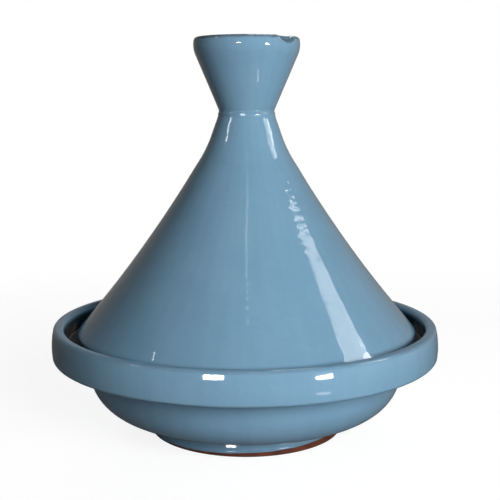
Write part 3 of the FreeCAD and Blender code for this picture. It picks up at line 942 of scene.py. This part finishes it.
def make_room():
    """The world: a dim room for the gloss, a share of it for the shade, white for the camera."""
    world = bpy.data.worlds.new("studio")
    world.use_nodes = True
    tree = world.node_tree
    tree.nodes.clear()
    direction = add(tree, "ShaderNodeTexCoord").outputs["Generated"]
    rightward, backward, upward = add(tree, "ShaderNodeSeparateXYZ", {0: direction}).outputs
    room = blend_colours(tree, ramp(tree, backward, 0.3, 0.95), ROOM_DIM, ROOM_BEHIND)
    room = blend_colours(tree, ramp(tree, rightward, 0.1, 1.0), room, ROOM_RIGHT)
    room = blend_colours(tree, ramp(tree, upward, 0.15, 0.75), room, ROOM_OVERHEAD)
    ray = add(tree, "ShaderNodeLightPath").outputs
    share = calc(tree, "MULTIPLY_ADD", ray["Is Glossy Ray"], 1.0 - ROOM_FILL, ROOM_FILL)
    room = scaled(tree, room, share)
    colour = blend_colours(tree, ray["Is Camera Ray"], room, (1.0, 1.0, 1.0, 1.0))
    background = add(tree, "ShaderNodeBackground", {"Color": colour})
    add(tree, "ShaderNodeOutputWorld", {"Surface": background.outputs[0]})
    bpy.context.scene.world = world


make_room()
print("room:", bpy.context.scene.world.name)


# %% The lamps
def direction_to(azimuth, elevation):
    """A unit vector. Azimuth 0 is in front of the pot and grows to the right, in degrees."""
    a = math.radians(azimuth)
    e = math.radians(elevation)
    return Vector((math.sin(a) * math.cos(e), -math.cos(a) * math.cos(e), math.sin(e)))


def softbox(name, target, azimuth, elevation, distance, width, height, watts):
    """A rectangular lamp that faces target. width and height are angles, seen from there."""
    light = bpy.data.lights.new(name, "AREA")
    light.shape = "RECTANGLE"
    light.size = 2 * distance * math.tan(math.radians(width / 2))
    light.size_y = 2 * distance * math.tan(math.radians(height / 2))
    light.energy = watts
    lamp = bpy.data.objects.new(name, light)
    toward = direction_to(azimuth, elevation)
    lamp.location = Vector(target) + distance * toward
    lamp.rotation_euler = toward.to_track_quat("Z", "Y").to_euler()
    lamp.visible_camera = False
    bpy.context.scene.collection.objects.link(lamp)
    return lamp


def glint(name, target, azimuth, elevation, width, height, brightness, distance=2.0):
    """A lamp that only the gloss sees. brightness is how bright its face looks."""
    lamp = softbox(name, target, azimuth, elevation, distance, width, height, 1.0)
    lamp.data.energy = brightness * math.pi * lamp.data.size * lamp.data.size_y
    lamp.visible_diffuse = False


middle = (0.0, 0.0, 0.12)
key = softbox("key_softbox", middle, 25.5, 17.0, 1.2, 26.0, 24.0, 14.2)
key.visible_glossy = False
back_fill = softbox("back_fill", middle, 190.0, 12.0, 2.0, 40.0, 30.0, 26.0)
back_fill.visible_glossy = False
glint("back_softbox", middle, 172.0, 50.0, 10.0, 14.0, 7.0)
band_right = (0.050, -0.140, 0.079)
band_left = (-0.021, -0.147, 0.081)
neck = (0.0, -0.021, 0.235)
glint("low_softbox_right", band_right, 44.5, 0.4, 10.0, 4.2, 110.0)
glint("low_softbox_left", band_left, -17.5, 5.4, 11.0, 4.4, 80.0)
glint("table_gleam_left", (-0.020, -0.148, 0.066), -18.3, -26.4, 12.0, 2.4, 3.0, 0.19)
glint("table_gleam_right", (0.051, -0.141, 0.069), 45.0, -19.0, 11.0, 3.0, 5.0, 0.19)
glint("neck_lamp_left", neck, -72.0, 31.0, 6.0, 6.0, 13.0, 1.0)
glint("neck_lamp_right", neck, 93.0, 26.0, 7.0, 5.0, 8.0, 1.0)
glint("left_spark", (-0.0624, -0.1108, 0.0849), -85.4, 47.3, 1.2, 1.0, 30.0, 0.10)
glint("overhead_strip", (0.001, -0.077, 0.149), 1.7, 63.2, 1.8, 6.0, 2.5, 0.45)


# %% The window with slats
SLATS = 9
SLAT_WIDTH = 0.013
SLAT_LENGTH = 0.24
SLAT_BRIGHTNESS = 13.0
WINDOW_ARCH = 0.37


def make_window(top_right, top_left, down_the_cone):
    """Slats of light, parallel to the cone's side, hung from the line between two points.

    The slats between the two ends are raised along an arch.
    """
    edge = top_left - top_right
    down = down_the_cone.normalized()
    away_from_pot = edge.cross(down).normalized()
    sideways = away_from_pot.cross(down)
    turn = Matrix((sideways, -down, away_from_pot)).transposed().to_euler()
    for slat in range(SLATS):
        light = bpy.data.lights.new(f"window_slat_{slat}", "AREA")
        light.shape = "RECTANGLE"
        light.size = SLAT_WIDTH
        light.size_y = SLAT_LENGTH
        light.energy = SLAT_BRIGHTNESS * math.pi * SLAT_WIDTH * SLAT_LENGTH
        lamp = bpy.data.objects.new(light.name, light)
        share = slat / (SLATS - 1)
        rise = WINDOW_ARCH * share**2 * (1 - share)
        lamp.location = top_right + edge * share + down * (SLAT_LENGTH / 2 - rise)
        lamp.rotation_euler = turn
        lamp.visible_diffuse = False
        lamp.visible_camera = False
        bpy.context.scene.collection.objects.link(lamp)


high_on_cone = Vector((0.047, -0.052, 0.160))
low_on_cone = Vector((0.083, -0.094, 0.089))
left_of_low = Vector((0.067, -0.111, 0.083))
window_right = high_on_cone + direction_to(104.2, 37.9)
window_left = left_of_low + direction_to(86.8, 46.1)
make_window(window_right, window_left, low_on_cone - high_on_cone)
print(f"window: {SLATS} slats, {(window_left - window_right).length:.2f} m from end to end")

# %% [markdown]
# ## The camera
# The camera stands about level with the lid's neck and looks slightly down, about three
# quarters of a metre away, with a short telephoto lens.

# %% The camera
CAMERA_PLACE = (0.0031, -0.740, 0.256)
CAMERA_DOWN = 8.85
CAMERA_LENS = 69.05
SENSOR_WIDTH = 36.0

camera_data = bpy.data.cameras.new("camera")
camera_data.lens = CAMERA_LENS
camera_data.sensor_width = SENSOR_WIDTH
camera = bpy.data.objects.new("camera", camera_data)
camera.location = CAMERA_PLACE
camera.rotation_euler = (math.radians(90 - CAMERA_DOWN), 0, 0)
bpy.context.scene.collection.objects.link(camera)
bpy.context.scene.camera = camera
bpy.context.scene.view_settings.view_transform = "Standard"
print(f"camera: {CAMERA_LENS} mm lens, {CAMERA_DOWN} degrees down")
